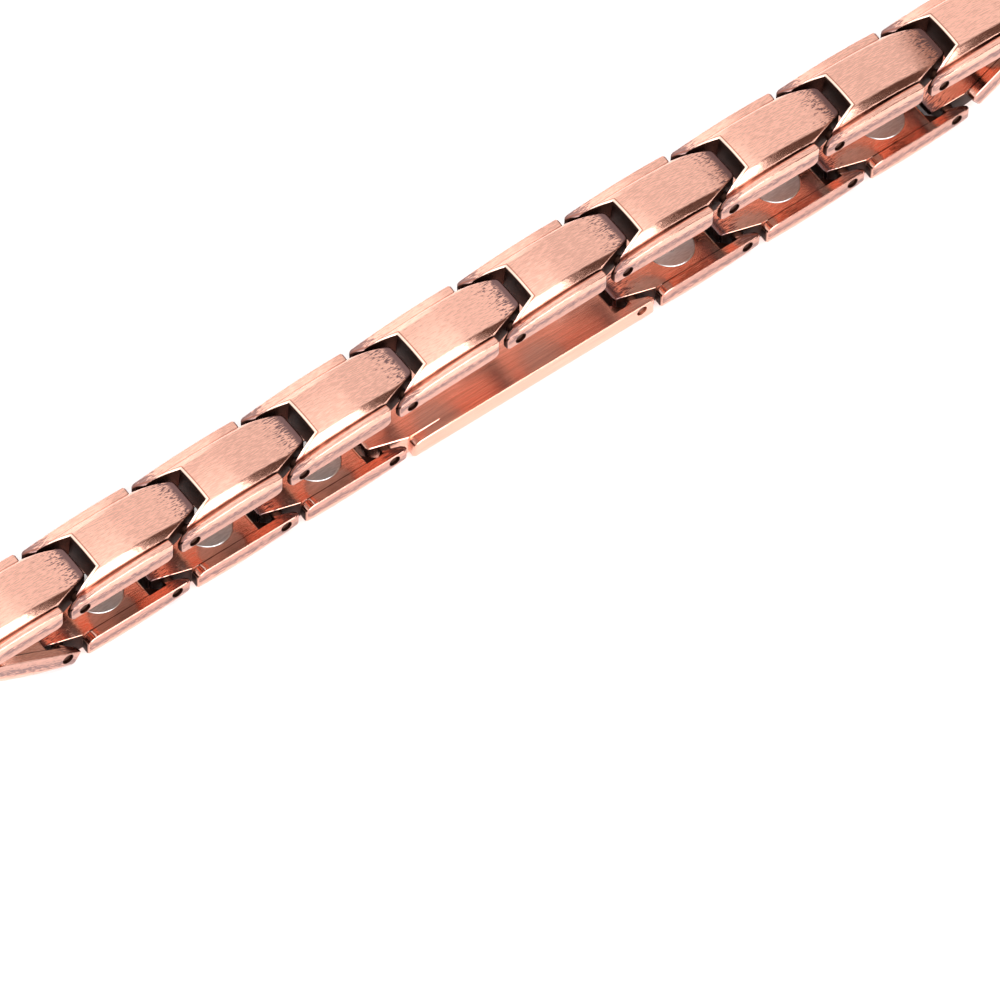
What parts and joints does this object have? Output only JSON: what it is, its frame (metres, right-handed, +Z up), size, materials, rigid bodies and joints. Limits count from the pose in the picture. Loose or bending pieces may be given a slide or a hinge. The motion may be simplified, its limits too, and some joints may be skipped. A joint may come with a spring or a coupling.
{
  "type": "magnetic bracelet",
  "caption": "Copper-toned magnetic bracelet of arched V-notched links on cross pins, closed with a plain clasp and lying flattened.",
  "frame": {"origin": "under the middle of the bracelet, on the surface that it lies on", "axes": "+X along the straight upper run, +Y across the links, +Z up, out of the upper run's outer faces"},
  "size_m": [0.1083, 0.0068, 0.011],
  "materials": {
    "link_copper": "pink copper, brushed along the link, with dark patina in the grooves and at the joints",
    "clasp_copper": "pink copper, brushed along its length",
    "pin_copper": "copper, dark in the recess",
    "magnet_nickel": "satin nickel-plated magnet"
  },
  "bodies": {
    "root": {"link_01": "link_copper", "link_02": "link_copper", "link_03": "link_copper", "link_04": "link_copper", "link_05": "link_copper", "link_06": "link_copper", "link_07": "link_copper", "link_08": "link_copper", "link_09": "link_copper", "link_10": "link_copper", "link_11": "link_copper", "link_12": "link_copper", "link_13": "link_copper", "link_14": "link_copper", "link_15": "link_copper", "link_16": "link_copper", "link_17": "link_copper", "link_18": "link_copper", "clasp": "clasp_copper", "pin_01": "pin_copper", "pin_02": "pin_copper", "pin_03": "pin_copper", "pin_04": "pin_copper", "pin_05": "pin_copper", "pin_06": "pin_copper", "pin_07": "pin_copper", "pin_08": "pin_copper", "pin_09": "pin_copper", "pin_10": "pin_copper", "pin_11": "pin_copper", "pin_12": "pin_copper", "pin_13": "pin_copper", "pin_14": "pin_copper", "pin_15": "pin_copper", "pin_16": "pin_copper", "pin_17": "pin_copper", "pin_18": "pin_copper", "pin_19": "pin_copper", "magnet_01": "magnet_nickel", "magnet_02": "magnet_nickel", "magnet_03": "magnet_nickel", "magnet_04": "magnet_nickel", "magnet_05": "magnet_nickel", "magnet_06": "magnet_nickel", "magnet_07": "magnet_nickel", "magnet_08": "magnet_nickel", "magnet_09": "magnet_nickel", "magnet_10": "magnet_nickel", "magnet_11": "magnet_nickel", "magnet_12": "magnet_nickel", "magnet_13": "magnet_nickel", "magnet_14": "magnet_nickel", "magnet_15": "magnet_nickel", "magnet_16": "magnet_nickel", "magnet_17": "magnet_nickel", "magnet_18": "magnet_nickel"}
  },
  "joints": []
}
